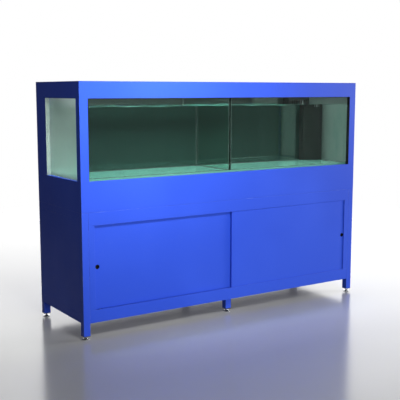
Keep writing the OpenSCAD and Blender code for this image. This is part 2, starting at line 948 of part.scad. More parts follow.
// Hinge channel on the lid's back edge and a grip on top of its front edge
module lid_trim() {
  grip_x = (lid_x0 + lid_x1) / 2;
  grip_y = -open_y + 24;
  color(black) {
    hinge_channel(-1, 1, false);
    difference() {
      block([grip_x - 80, grip_y, lid_top], [grip_x + 80, grip_y + 22, lid_top + 10]);
      block([grip_x - 70, grip_y + 10, lid_top - 1], [grip_x + 70, grip_y + 23, lid_top + 6]);
    }
  }
}

module right_lid_glass() {
  lid_pane(-open_y + lid_gap, hinge_y - knuckle_r - 4);
}

module left_lid_glass() {
  mirror([1, 0, 0]) right_lid_glass();
}

module right_lid_trim() {
  lid_trim();
}

module left_lid_trim() {
  mirror([1, 0, 0]) lid_trim();
}

module cover_glasses() {
  both_sides() lid_pane(hinge_y + knuckle_r + 4, open_y - lid_gap);
}

module cover_hinges() {
  color(black) both_sides() hinge_channel(1, 0, true);
}

// A rubber ring in the rear panel's hole
module cable_grommet() {
  side = 4;
  color(black)
  translate([grommet_x, rear_panel_y - side, grommet_z]) rotate([-90, 0, 0])
  rotate_extrude()
    polygon([[grommet_r, 0], [grommet_r + 7, 0], [grommet_r + 7, side], [grommet_r + 3, side],
             [grommet_r + 3, side + panel_t], [grommet_r + 7, side + panel_t],
             [grommet_r + 7, 2 * side + panel_t], [grommet_r, 2 * side + panel_t]]);
}

corner_legs();
mid_legs();
front_bottom_rail();
front_top_rail();
door_jambs();
stand_rails();
side_panels();
rear_panel();
base_shelf();
lower_track();
upper_track();
left_door();
right_door();
left_finger_pull();
right_finger_pull();
left_door_brackets();
right_door_brackets();
left_door_roller_a();
left_door_roller_b();
right_door_roller_a();
right_door_roller_b();
foot_front_left();
foot_front_mid();
foot_front_right();
foot_rear_left();
foot_rear_mid();
foot_rear_right();
leg_plugs();
front_casing();
left_casing();
right_casing();
rear_casing();
top_frame();
tank_bearers();
tank_board();
foam_mat();
bottom_pane();
front_pane();
rear_pane();
end_panes();
partition_pane();
brace_strips();
silicone_seams();
rear_film();
window_gaskets();
overflow_weir();
drain_standpipe();
drain_pipe();
valve_lever();
return_pipe();
sump_tank();
filter_sponge();
return_pump();
left_lid_glass();
right_lid_glass();
left_lid_trim();
right_lid_trim();
cover_glasses();
cover_hinges();
cable_grommet();
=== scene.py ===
# %% [markdown]
# # A two-compartment aquarium on a painted steel stand
# The object is a long glass tank inside a folded steel casing, on a frame of square tube with two
# sliding doors. The CAD model already fixes every size and every moving part, so this lesson only
# adds what makes it look real: eased edges, poured water, turned feet, beads of silicone, and a
# finish for each material. Everything is in metres, with the floor at z = 0 and the front at -Y.

# %% Load the frame
import bpy, bmesh, json, math
import numpy as np
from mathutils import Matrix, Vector


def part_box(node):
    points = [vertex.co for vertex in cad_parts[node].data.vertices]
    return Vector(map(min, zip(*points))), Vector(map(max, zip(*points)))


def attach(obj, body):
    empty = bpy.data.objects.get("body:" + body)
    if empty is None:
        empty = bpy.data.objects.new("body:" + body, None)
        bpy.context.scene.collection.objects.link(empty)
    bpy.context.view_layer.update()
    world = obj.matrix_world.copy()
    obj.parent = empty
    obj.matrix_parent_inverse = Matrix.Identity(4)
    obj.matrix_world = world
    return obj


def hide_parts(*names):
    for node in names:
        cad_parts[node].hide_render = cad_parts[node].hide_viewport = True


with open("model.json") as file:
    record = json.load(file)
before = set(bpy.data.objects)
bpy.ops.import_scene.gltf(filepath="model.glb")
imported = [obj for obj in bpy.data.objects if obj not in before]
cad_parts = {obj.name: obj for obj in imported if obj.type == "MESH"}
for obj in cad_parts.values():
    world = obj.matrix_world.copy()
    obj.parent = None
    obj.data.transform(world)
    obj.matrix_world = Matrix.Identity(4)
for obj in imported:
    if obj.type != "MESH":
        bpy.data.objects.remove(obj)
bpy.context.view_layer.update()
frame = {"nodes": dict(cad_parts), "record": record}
MM = 0.001
slot_of = {row["node"]: row["material_slot"] for row in frame["record"]["subparts"]}
body_of = {node: body for body, nodes in frame["record"]["behaviour"]["bodies"].items() for node in nodes}

# %% [markdown]
# ## Places taken from the frame
# A new piece has to sit exactly against its neighbours, so each place below is read from the box of
# the CAD node that it meets, and never typed in twice.

# %% Places
def low(node):
    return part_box(node)[0]

def high(node):
    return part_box(node)[1]

inner_x = high("bottom_pane").x
inner_y = high("bottom_pane").y
floor_z = high("bottom_pane").z
rim_z = high("front_pane").z
half_partition = high("partition_pane").x
weir_low, weir_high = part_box("overflow_weir")
weir_points = np.array([vertex.co for vertex in frame["nodes"]["overflow_weir"].data.vertices])
weir_turn_y = weir_points[weir_points[:, 0] < weir_low.x + MM, 1].min()
drop_to_water = 91 * MM
water_z = rim_z - drop_to_water
print("tank", round(2 * inner_x, 3), "by", round(2 * inner_y, 3), "water at", round(water_z, 3))

# %% [markdown]
# ## Camera
# The tank is seen from the front left at about the height of its rim, with a moderate telephoto
# lens. A long lens from further away would flatten the box, and a wide one would make the near
# corner loom.

# %% Camera
camera = bpy.data.objects.new("camera", bpy.data.cameras.new("camera"))
bpy.context.scene.collection.objects.link(camera)
camera.location = (-2.771, -4.1491, 1.3623)
looks_down, turned_right = 7.87, 33.355
camera.rotation_euler = (math.radians(90 - looks_down), 0, math.radians(-turned_right))
camera.data.lens, camera.data.sensor_width = 70.97, 36
camera.data.clip_end = 200
bpy.context.scene.camera = camera
print("camera", [round(place, 2) for place in camera.location], "lens", camera.data.lens)

# %% [markdown]
# ## Shader maths as Python expressions
# A node tree is a formula drawn as boxes. `Wire` wraps one output socket and overloads the
# arithmetic operators, so that `1 - mask * 0.3` adds the Math nodes by itself.

# %% Wire
class Wire:
    """One output socket, usable in Python arithmetic with numbers and other wires."""

    def __init__(self, finish, socket):
        self.finish, self.socket = finish, socket

    def math(self, operation, first, second=0.0):
        return self.finish.node("ShaderNodeMath", {"operation": operation}, {0: first, 1: second})

    def __add__(self, other):
        return self.math("ADD", self, other)

    __radd__ = __add__

    def __mul__(self, other):
        return self.math("MULTIPLY", self, other)

    __rmul__ = __mul__

    def __sub__(self, other):
        return self.math("SUBTRACT", self, other)

    def __rsub__(self, other):
        return self.math("SUBTRACT", other, self)

    def __gt__(self, other):
        return self.math("GREATER_THAN", self, other)

    def fraction(self):
        return self.math("FRACT", self)

    def clear(self, start, end):
        """0 below start, 1 above end, and a smooth step between them."""
        settings = {"interpolation_type": "SMOOTHSTEP"}
        return self.finish.node("ShaderNodeMapRange", settings, {0: self, 1: start, 2: end})


print("wire methods", [name for name in vars(Wire) if not name.endswith("__")])

# %% [markdown]
# ## One material at a time
# `Finish` is one material with a Principled surface. Its `node` method adds any node from a type, its
# settings and its inputs, and the other methods are short names for the nodes that are used most:
# noise and cells for patterns, `mix` for colours, and `bump` for relief given in metres.

# %% Finish
class Finish:
    """A material with one Principled surface, whose varying inputs are written as expressions."""

    def __init__(self, name, **sockets):
        self.material = bpy.data.materials.new(name)
        self.material.use_nodes = True
        self.tree = self.material.node_tree
        self.tree.nodes.clear()
        self.output = self.tree.nodes.new("ShaderNodeOutputMaterial")
        self.surface = self.tree.nodes.new("ShaderNodeBsdfPrincipled")
        self.tree.links.new(self.surface.outputs[0], self.output.inputs[0])
        for socket, value in sockets.items():
            self.set(socket.replace("_", " "), value)

    def put(self, socket, value):
        if isinstance(value, Wire):
            self.tree.links.new(value.socket, socket)
        elif socket.type == "RGBA" and len(value) == 3:
            socket.default_value = (*value, 1)
        else:
            socket.default_value = value

    def node(self, kind, settings=None, inputs=None, output=0):
        made = self.tree.nodes.new(kind)
        for key, value in (settings or {}).items():
            setattr(made, key, value)
        for key, value in (inputs or {}).items():
            self.put(made.inputs[key], value)
        return Wire(self, made.outputs[output])

    def set(self, socket, value):
        self.put(self.surface.inputs[socket], value)
        return self

    def place(self, scale=(1, 1, 1)):
        """Object coordinates in metres, stretched by scale."""
        here = self.node("ShaderNodeTexCoord", output="Object")
        return self.node("ShaderNodeMapping", None, {"Vector": here, "Scale": scale})

    def axis(self, name):
        """One of the object coordinates, as a number."""
        here = self.node("ShaderNodeTexCoord", output="Object")
        return self.node("ShaderNodeSeparateXYZ", None, {0: here}, name)

    def noise(self, scale, detail=3.0, rough=0.55, stretch=(1, 1, 1)):
        inputs = {"Vector": self.place(stretch), "Scale": scale, "Detail": detail, "Roughness": rough}
        return self.node("ShaderNodeTexNoise", None, inputs)

    def cells(self, scale, feature="F1", output="Distance"):
        inputs = {"Vector": self.place(), "Scale": scale}
        return self.node("ShaderNodeTexVoronoi", {"feature": feature}, inputs, output)

    def mix(self, factor, first, second):
        """A colour between first and second."""
        made = self.tree.nodes.new("ShaderNodeMix")
        made.data_type = "RGBA"
        for key, value in ((0, factor), (6, first), (7, second)):
            self.put(made.inputs[key], value)
        return Wire(self, made.outputs[2])

    def bump(self, height, depth, strength=1.0):
        """A normal from a height of 0 to 1 that stands for depth metres."""
        inputs = {"Height": height, "Distance": depth, "Strength": strength}
        return self.set("Normal", self.node("ShaderNodeBump", None, inputs))

    def let_lamps_through(self, tint):
        """Lamps shine through: a shadow ray meets a tinted transparent sheet in place of glass."""
        clear = self.node("ShaderNodeBsdfTransparent", None, {0: tint})
        shadow = self.node("ShaderNodeLightPath", output="Is Shadow Ray")
        inputs = {0: shadow, 1: Wire(self, self.surface.outputs[0]), 2: clear}
        mixed = self.node("ShaderNodeMixShader", None, inputs)
        self.tree.links.new(mixed.socket, self.output.inputs[0])
        return self

# %% [markdown]
# ## Colours
# People name a colour by its screen values, but Cycles adds up light, so each colour is turned from
# the screen's curve into linear light once, where it is written.

# %% Screen colours
def screen(red, green, blue):
    """A colour given as 0 to 255 on screen, turned into the linear light that Cycles adds up."""
    share = np.array([red, green, blue]) / 255
    linear = np.where(share <= 0.04045, share / 12.92, ((share + 0.055) / 1.055) ** 2.4)
    return tuple(linear.tolist())


print("mid grey", [round(light, 3) for light in screen(128, 128, 128)])

# %% [markdown]
# ## Powder-coated steel
# The frame, the casing and the doors are one colour of powder coat. Sprayed powder melts into a
# skin with a fine orange peel, so the bump is a noise of a few millimetres that is only some
# hundredths of a millimetre deep. The colour drifts by a few percent over a metre, and handling
# leaves it a little duller in patches. On an edge the coat is thinner and gets rubbed, so the eased
# edges get a second finish that is paler where a coarse noise is high.

# %% Paint
coat_blue = screen(54, 91, 226)
deep_blue = screen(48, 84, 216)


def painted(name, edge=False):
    finish = Finish(name, Metallic=0.0, Specular_IOR_Level=0.32, Coat_Roughness=0.2)
    drift = finish.noise(1.4, 2.0)
    hue = finish.mix(drift.clear(0.35, 0.65), deep_blue, coat_blue)
    patches = finish.noise(9.0, 5.0, 0.6)
    dust = finish.noise(60.0, 4.0, 0.7).clear(0.55, 0.8)
    if edge:
        rubbed = finish.noise(22.0, 6.0, 0.7).clear(0.52, 0.66)
        hue = finish.mix(rubbed * 0.35 + 0.1, hue, screen(122, 146, 236))
    hue = finish.mix(dust * 0.035, hue, screen(190, 196, 210))
    finish.set("Base Color", hue)
    finish.set("Roughness", patches * 0.14 + dust * 0.08 + 0.42)
    finish.set("Coat Weight", 0.09 - patches * 0.08)
    peel = finish.noise(260.0, 2.0, 0.5)
    finish.bump(peel * 0.7 + finish.noise(900.0, 1.0) * 0.3, 0.00012, 0.35)
    return finish.material


blue_paint = painted("blue_powder_coat")
blue_edge = painted("blue_powder_coat_rubbed_edge", edge=True)
print("paint nodes", len(blue_paint.node_tree.nodes), "edge nodes", len(blue_edge.node_tree.nodes))

# %% [markdown]
# ## Bare metals
# Zinc plate shows crystals a centimetre or so across, extruded aluminium shows fine die lines along
# its length, and a turned foot shows rings round its axis under bright chrome.

# %% Metals
def zinc():
    finish = Finish("zinc_plated_steel", Metallic=1.0)
    crystal = finish.cells(75.0, output="Color")
    shade = finish.node("ShaderNodeSeparateColor", None, {0: crystal}, "Red")
    finish.set("Base Color", finish.mix(shade, screen(168, 172, 178), screen(205, 208, 212)))
    finish.set("Roughness", shade * 0.18 + finish.noise(14.0) * 0.16 + 0.22)
    finish.bump(shade, 0.00006, 0.4)
    return finish.material


def aluminium():
    finish = Finish("extruded_aluminium", Metallic=1.0)
    lines = finish.noise(700.0, 3.0, 0.6, stretch=(0.01, 1, 1))
    wear = finish.noise(18.0, 4.0, 0.6, stretch=(0.3, 1, 1)).clear(0.5, 0.7)
    bright = lines * 0.6 + wear * 0.3
    finish.set("Base Color", finish.mix(bright, screen(190, 193, 198), screen(222, 224, 227)))
    finish.set("Roughness", lines * 0.2 + 0.24 - wear * 0.08)
    finish.bump(lines, 0.00005, 0.5)
    return finish.material


def chrome():
    finish = Finish("chromed_steel", Metallic=1.0)
    rings = finish.noise(1500.0, 2.0, 0.5, stretch=(0.05, 0.05, 1))
    grime = finish.noise(160.0, 4.0, 0.6).clear(0.55, 0.75)
    finish.set("Base Color", finish.mix(grime * 0.5, screen(214, 217, 221), screen(120, 116, 108)))
    finish.set("Roughness", rings * 0.08 + grime * 0.25 + 0.08)
    finish.bump(rings, 0.00002, 0.4)
    return finish.material

# %% [markdown]
# ## Plastics, rubber and foam
# Moulded plastic takes the fine grain of its mould, rubber is duller and darker, and foams show
# their cells, whose pits are darkened with painted shade. The grain is small, so it is a bump, while
# the open cells of the filter foam are cut into its mesh as well.

# %% Plastics, rubber and foam
def moulded(name, colour, rough, grain=700.0, depth=0.00006, spread=0.12, coat=0.0):
    finish = Finish(name, Coat_Weight=coat)
    tone = finish.noise(12.0, 3.0)
    paler = tuple(min(1.0, channel * 1.25 + 0.004) for channel in colour)
    finish.set("Base Color", finish.mix(tone.clear(0.3, 0.7), colour, paler))
    finish.set("Roughness", tone * spread + rough)
    finish.bump(finish.noise(grain, 3.0, 0.6), depth, 0.5)
    return finish.material


def cellular(name, colour, pit, scale, depth):
    finish = Finish(name, Roughness=0.9)
    # Painted shade: the pits at the cell centres take the darker pit colour.
    cell = finish.cells(scale)
    shade = cell.clear(0.15, 0.75)
    finish.set("Base Color", finish.mix(shade, pit, colour))
    finish.bump(cell + finish.noise(scale * 2.3) * 0.3, depth, 0.8)
    return finish.material

# %% [markdown]
# ## Boards
# The cabinet's floor is chipboard with a pebbled melamine skin, and the tank lies on birch plywood,
# whose cut edges show its plies. The plies follow from the board's own box in the frame.

# %% Boards
def melamine():
    finish = Finish("grey_melamine_board")
    pebble = finish.cells(420.0, "SMOOTH_F1")
    tone = finish.noise(3.0, 4.0)
    finish.set("Base Color", finish.mix(tone, screen(188, 190, 193), screen(206, 207, 209)))
    finish.set("Roughness", pebble * 0.2 + 0.38)
    finish.bump(pebble, 0.00008, 0.5)
    return finish.material


def plywood():
    """Grain along X on the faces, and thirteen plies that alternate in tone through the thickness."""
    finish = Finish("birch_plywood", Roughness=0.6)
    plies = 13
    board_low, board_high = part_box("tank_board")
    grain = finish.noise(60.0, 6.0, 0.65, stretch=(0.06, 1, 1))
    layer = (finish.axis("Z") - board_low.z) * (plies / 2 / (board_high.z - board_low.z))
    dark_ply = layer.fraction() > 0.5
    wood = finish.mix(grain.clear(0.35, 0.7), screen(214, 184, 140), screen(186, 150, 104))
    finish.set("Base Color", finish.mix(dark_ply * 0.35, wood, screen(140, 100, 62)))
    finish.bump(grain, 0.0001, 0.5)
    return finish.material

# %% [markdown]
# ## Glass and water
# Float glass has a faint green cast that deepens in thick panes, and still water is a little greener
# than clear. Both are real refracting volumes. Lamps can't find their way through refracting
# surfaces in a reasonable time, so shadow rays take a tinted transparent sheet in their place, and
# the inside of the tank gets its light. The end panes are hazed with lime, the overflow box is black
# acrylic.

# %% Glass and water
def clear_solid(name, colour, index, shadow, rough=0.0, smear=0.0):
    finish = Finish(name, Transmission_Weight=1.0, IOR=index, Base_Color=colour)
    smudge = finish.noise(7.0, 4.0, 0.6).clear(0.5, 0.8)
    finish.set("Roughness", smudge * smear + rough)
    return finish.let_lamps_through(shadow).material


def hazed_glass():
    """Glass with a film of lime, rough in streaks that run down the pane, and a dark green painted shade at
    the weir's end.
    """
    finish = Finish("hazed_end_glass", Transmission_Weight=1.0, IOR=1.5)
    streaks = finish.noise(26.0, 3.0, 0.6, stretch=(1, 1, 0.04))
    blotches = finish.noise(5.0, 3.0, 0.6)
    # Painted shade: the right end pane is tinted dark green, so it shows darker than the left end.
    right_end_painted_shade = finish.axis("X").clear(0.0, 0.1) * (blotches * 0.2 + 0.8)
    finish.set("Base Color", finish.mix(right_end_painted_shade, screen(246, 250, 249), screen(20, 84, 70)))
    finish.set("Roughness", streaks * 0.2 + blotches * 0.1 + 0.3)
    return finish.let_lamps_through((0.93, 0.96, 0.95)).material

# %% [markdown]
# ## Silicone and backing film
# Clear silicone is a cloudy skin that lets most of the view through, so it mixes in transparency
# rather than refracting. The bond between two panes is milky, with the foam's mint painted in as
# painted light. The film is matt, painted greener below the water line and paler grey above it, as
# painted light for the water's tint.

# %% Silicone and film
def silicone():
    finish = Finish("clear_silicone", Roughness=0.32)
    cloud = finish.noise(90.0, 3.0)
    finish.set("Base Color", finish.mix(cloud, screen(62, 82, 76), screen(96, 116, 110)))
    finish.set("Alpha", cloud * 0.3 + 0.12)
    return finish.material


def bond():
    """Silicone between two panes: milky, with the mint of the foam mat below it painted in as painted light.
    """
    finish = Finish("milky_bond_painted_foam_light")
    cloud = finish.noise(30.0, 3.0)
    # Painted light: the mint stands for the foam mat's colour seen through the bond.
    finish.set("Base Color", finish.mix(cloud, screen(78, 130, 116), screen(92, 146, 132)))
    finish.set("Roughness", cloud * 0.2 + 0.5)
    return finish.material


def film():
    finish = Finish("dark_backing_film")
    haze = finish.noise(1.1, 4.0, 0.6)
    deep = finish.mix(haze, screen(23, 36, 35), screen(32, 50, 47))
    # Painted light: the film is paler grey above the water line and greener below it, for the water's tint.
    above = finish.axis("Z").clear(water_z - 4 * MM, water_z + 6 * MM)
    finish.set("Base Color", finish.mix(above, deep, screen(44, 50, 48)))
    finish.set("Roughness", haze * 0.15 + 0.8)
    finish.set("Specular IOR Level", 0.08)
    finish.bump(finish.noise(30.0, 3.0), 0.0003, 0.3)
    return finish.material

# %% [markdown]
# ## A finish for every slot
# The record names a material slot for each node. Each slot gets one finish here, and the nodes that
# differ from their slot get one of their own.

# %% All finishes
glass = clear_solid("float_glass", screen(244, 252, 249), 1.5, (0.95, 0.97, 0.96), smear=0.02)
water = clear_solid("tank_water", screen(240, 251, 247), 1.333, (0.94, 0.98, 0.97))
acrylic = clear_solid("sump_acrylic", screen(228, 240, 246), 1.49, (0.9, 0.93, 0.95), smear=0.04)

finishes = {
    "blue_paint": blue_paint,
    "track_aluminium": aluminium(),
    "zinc_steel": zinc(),
    "foot_chrome": chrome(),
    "black_plastic": moulded("black_moulded_plastic", screen(28, 29, 31), 0.42),
    "roller_nylon": moulded("white_nylon", screen(222, 221, 214), 0.4, 400.0),
    "tank_glass": glass,
    "clear_silicone": silicone(),
    "dark_film": film(),
    "black_rubber": moulded("black_rubber", screen(22, 22, 22), 0.75, 1100.0),
    "grey_pvc": moulded("grey_pvc_pipe", screen(150, 154, 158), 0.3, 300.0, 0.00003, coat=0.15),
    "grey_board": melamine(),
    "plywood": plywood(),
    # The second colour of each foam is painted shade for its pits.
    "foam": cellular("mint_foam_sheet", screen(150, 206, 196), screen(118, 176, 165), 240.0, 0.0003),
    "sump_acrylic": acrylic,
    "filter_foam": cellular("blue_filter_foam", screen(52, 84, 148), screen(12, 22, 46), 330.0, 0.0015),
    "red_plastic": moulded("red_moulded_plastic", screen(186, 30, 24), 0.3, 600.0, coat=0.2),
}
# The cups are black plastic, made darker than the other black plastic as painted shade in the hollow.
cup_black_with_painted_shade = moulded("black_finger_cup_painted_shade", screen(9, 9, 10), 0.6)
pale_trim = moulded("pale_silicone_trim", screen(136, 146, 142), 0.55)
special = {
    "end_panes": hazed_glass(),
    "overflow_weir": moulded("black_weir_acrylic", screen(12, 17, 16), 0.75),
    "left_finger_pull": cup_black_with_painted_shade,
    "right_finger_pull": cup_black_with_painted_shade,
}
for node, item in frame["nodes"].items():
    item.data.materials.clear()
    item.data.materials.append(special.get(node, finishes[slot_of[node]]))
print("finishes", len(finishes), "and for single nodes", len(special))

# %% [markdown]
# ## Meshes from grids
# Most new pieces are surfaces of two parameters. `grid_faces` joins a grid of points into quads with
# array arithmetic, wrapping round where the surface closes on itself. `closed_between` makes a solid
# of two such grids, `lathe` turns a profile round an axis, and `piece` turns arrays into an object
# that rides on a body of the frame.

# %% Grids and pieces
def grid_faces(rows, columns, wrap=False):
    """Quads between neighbours of a rows by columns grid; wrap joins the last column to the first."""
    row, column = np.mgrid[0:rows - 1, 0:columns - (0 if wrap else 1)]
    after = (column + 1) % columns
    quads = np.stack([row * columns + column, row * columns + after,
                      (row + 1) * columns + after, (row + 1) * columns + column], axis=-1)
    return quads.reshape(-1, 4)


def join_parts(parts):
    """Several (points, faces) pairs as one pair, with the faces renumbered."""
    points, faces, start = [], [], 0
    for part_points, part_faces in parts:
        points.append(part_points)
        faces += [[int(corner) + start for corner in face] for face in part_faces]
        start += len(part_points)
    return np.concatenate(points), faces


def closed_between(first, second):
    """A closed solid from two grids of the same shape: both grids, and a wall round their rims."""
    count = first.shape[0] * first.shape[1]
    index = np.arange(count).reshape(first.shape[:2])
    rim = np.concatenate([index[:, 0], index[-1, 1:], index[-2::-1, -1], index[0, -2:0:-1]])
    after = np.roll(rim, -1)
    walls = np.stack([rim, after, after + count, rim + count], axis=1)
    faces = grid_faces(*first.shape[:2])
    points = np.concatenate([first.reshape(-1, 3), second.reshape(-1, 3)])
    return points, np.concatenate([faces, faces[:, ::-1] + count, walls])

# %% Making a piece
def piece(name, points, faces, node, material=None, stands_for=True, smooth=35):
    """An object from arrays: merged, turned outwards, and riding on the body of a CAD node."""
    mesh = bpy.data.meshes.new(name)
    mesh.from_pydata(np.asarray(points).tolist(), [], [list(map(int, face)) for face in faces])
    shape = bmesh.new()
    shape.from_mesh(mesh)
    bmesh.ops.remove_doubles(shape, verts=shape.verts, dist=1e-6)
    bmesh.ops.recalc_face_normals(shape, faces=shape.faces)
    shape.to_mesh(mesh)
    shape.free()
    mesh.materials.append(material or special.get(node, finishes[slot_of[node]]))
    mesh.shade_smooth()
    mesh.set_sharp_from_angle(angle=math.radians(smooth))
    item = bpy.data.objects.new(name, mesh)
    bpy.context.scene.collection.objects.link(item)
    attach(item, body_of[node])
    if stands_for:
        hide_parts(node)
    return item

# %% Lathe
def lathe(profile, centre, axis, steps=48):
    """Points (radius, height) turned round an axis through centre: x = r cos a, y = r sin a."""
    profile = np.asarray(profile, float)
    turn = np.linspace(0, 2 * np.pi, steps, endpoint=False)
    radius, height = profile[:, :1], profile[:, 1:]
    rings = np.stack([radius * np.cos(turn), radius * np.sin(turn), height + 0 * turn], axis=-1)
    order = {"z": [0, 1, 2], "y": [0, 2, 1], "x": [2, 0, 1]}[axis]
    return rings.reshape(-1, 3)[:, order] + np.array(centre), grid_faces(len(profile), steps, wrap=True)

# %% [markdown]
# ## Eased edges
# Nothing folded or sawn has a perfectly sharp edge, and the thin highlight along a rounded one is
# what tells the eye that it is sheet metal. Each hard node is copied, its loose triangles are merged
# back into flat faces, and its convex edges are beveled. An edge that is also an edge of the solid's
# own box is an outer fold and gets the larger radius. The bevel faces take the rubbed finish.

# %% Ease edges
def eased(node, fine, fold=None, edge_material=None, segments=2):
    """A copy of a CAD node with convex edges rounded by `fine`, and its outer folds by `fold`."""
    mesh = frame["nodes"][node].data.copy()
    shape = bmesh.new()
    shape.from_mesh(mesh)
    bmesh.ops.remove_doubles(shape, verts=shape.verts, dist=2e-6)
    bmesh.ops.dissolve_limit(shape, angle_limit=math.radians(0.6), verts=shape.verts, edges=shape.edges)
    weight = shape.edges.layers.float.new("bevel_weight_edge")
    widest = fold or fine
    left = set(shape.verts)
    while left:
        island, front = set(), [next(iter(left))]
        while front:
            vertex = front.pop()
            if vertex not in island:
                island.add(vertex)
                front += [edge.other_vert(vertex) for edge in vertex.link_edges]
        left -= island
        corners = np.array([vertex.co for vertex in island])
        ends = np.stack([corners.min(0), corners.max(0)])
        for edge in {edge for vertex in island for edge in vertex.link_edges}:
            if len(edge.link_faces) != 2 or not edge.is_convex or edge.calc_face_angle() < 0.5:
                continue
            pair = np.array([vertex.co for vertex in edge.verts])
            on_box = (np.abs(pair[:, None] - ends) < 1e-5).all(0).any(0).sum()
            edge[weight] = 1.0 if on_box >= 2 else fine / widest
    shape.to_mesh(mesh)
    shape.free()
    mesh.shade_smooth()
    mesh.set_sharp_from_angle(angle=math.radians(32))
    item = bpy.data.objects.new(node + "_eased", mesh)
    bpy.context.scene.collection.objects.link(item)
    if edge_material:
        mesh.materials.append(edge_material)
    bevel = item.modifiers.new("ease", "BEVEL")
    bevel.width, bevel.segments, bevel.limit_method = widest, segments, "WEIGHT"
    bevel.use_clamp_overlap, bevel.harden_normals = True, True
    bevel.material = 1 if edge_material else -1
    bpy.context.view_layer.update()
    finished = bpy.data.meshes.new_from_object(item.evaluated_get(bpy.context.evaluated_depsgraph_get()))
    item.modifiers.clear()
    item.data = finished
    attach(item, body_of[node])
    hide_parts(node)
    return item

# %% [markdown]
# ## How much each piece is eased
# Square tube is rolled round at its corners, folded sheet has the radius of its fold, and a door is
# thinner sheet. Glass is only arrised, which takes off the sharp corner as one narrow flat.

# %% Eased pieces
tubes = ["corner_legs", "mid_legs", "stand_rails"]
sheets = ["front_bottom_rail", "front_top_rail", "door_jambs", "front_casing", "left_casing",
          "right_casing", "rear_casing", "top_frame", "side_panels", "rear_panel"]
for node in tubes:
    eased(node, 0.4 * MM, 3.0 * MM, blue_edge)
for node in sheets:
    eased(node, 0.45 * MM, 1.4 * MM, blue_edge)
for node in ("left_door", "right_door"):
    eased(node, 0.35 * MM, 0.7 * MM, blue_edge)
for node in ("lower_track", "upper_track", "tank_bearers", "left_door_brackets", "right_door_brackets"):
    eased(node, 0.3 * MM)
for node in ("leg_plugs", "valve_lever", "return_pump", "left_lid_trim", "right_lid_trim", "cover_hinges",
             "base_shelf", "sump_tank", "overflow_weir"):
    eased(node, 0.6 * MM)
for node in ("front_pane", "rear_pane", "end_panes", "partition_pane", "brace_strips", "cover_glasses",
             "left_lid_glass", "right_lid_glass", "bottom_pane"):
    eased(node, 0.8 * MM, segments=1)

# %% [markdown]
# ## Water
# Water filled to a level looks flat, yet three things give it away: slow ripples from the return
# flow, a meniscus that climbs every wall, and the bright line where both meet the glass. The body
# runs a third of a millimetre into the panes, because a gap of air would turn each wall into a
# mirror. The surface is a height over a grid, whose lines crowd together near the walls, where the
# meniscus bends. A sum of sines was preferred to an ocean simulation, because a tank's ripples are
# only a millimetre high.

# %% Water bodies
wet = 0.3 * MM
rise, reach = 1.5 * MM, 2.6 * MM


def ripples(x, y):
    """Height of slow ripples: five sines of x and y, each with its own heading, length and size."""
    waves = ((0.3, 0.21, 0.9), (1.9, 0.145, 0.7), (2.7, 0.11, 0.5), (0.9, 0.083, 0.35), (5.1, 0.31, 0.9))
    total = 0 * x
    for heading, length, size in waves:
        along = x * math.cos(heading) + y * math.sin(heading)
        total = total + size * MM * np.sin(2 * np.pi * along / length + 7 * heading)
    return total


def crowded(start, end, pitch=0.012):
    """Places from start to end: an even pitch in the middle, and closer and closer at both ends."""
    near = np.array([0, 0.6, 1.3, 2.2, 3.4, 5.2, 8.0]) * MM
    middle = np.linspace(start + 12 * MM, end - 12 * MM, max(3, int((end - start) / pitch)))
    return np.concatenate([start + near, middle, end - near[::-1]])


def water_body(name, columns, front, far, level, bottom, node, still=1.0):
    """A closed body of water. Columns are x places, and far is the back wall's y at each of them.

    The top is level + ripples * still + a meniscus: rise * exp(-distance to the wall / reach)."""
    depth = far[:, None] - front
    share = crowded(0.0, float(depth.max())) / depth.max()
    x = np.repeat(columns[:, None], len(share), axis=1)
    y = front + depth * share
    wall = np.minimum(np.minimum(x - x.min(), x.max() - x), np.minimum(y - front, front + depth - y))
    top = level + still * ripples(x, y) + rise * np.exp(-wall / reach)
    body = closed_between(np.stack([x, y, top], axis=-1), np.stack([x, y, bottom + 0 * x], axis=-1))
    piece(name, *body, node, water, stands_for=False)
    print(name, "grid", x.shape, "level", round(level, 3))


tank_front = -inner_y - wet
left_columns = crowded(-inner_x - wet, -half_partition + wet)
left_far = 0 * left_columns + inner_y + wet
water_body("water_left", left_columns, tank_front, left_far, water_z, floor_z - wet, "bottom_pane")
main_columns = crowded(half_partition - wet, weir_low.x + wet)
corner_columns = crowded(weir_low.x + 2 * wet, inner_x + wet, 0.008)
slant = (weir_turn_y - weir_low.y) / (inner_x - weir_low.x)
right_columns = np.concatenate([main_columns, corner_columns])
right_far = np.concatenate([0 * main_columns + inner_y + wet,
                            weir_turn_y + wet - slant * (corner_columns - weir_low.x)])
water_body("water_right", right_columns, tank_front, right_far, water_z, floor_z - wet, "bottom_pane")

# %% [markdown]
# ## Foam mat and backing film
# Both lie flat against glass. Two surfaces in the same place flicker, because a ray can't tell
# which comes first. The foam is pressed against the pane, so its top is set a hair into the glass and
# shows its colour through the water. The film hangs behind the pane with a hair of air between, so
# that slanting rays still bounce off the glass.

# %% Foam and film
skin = 0.3 * MM


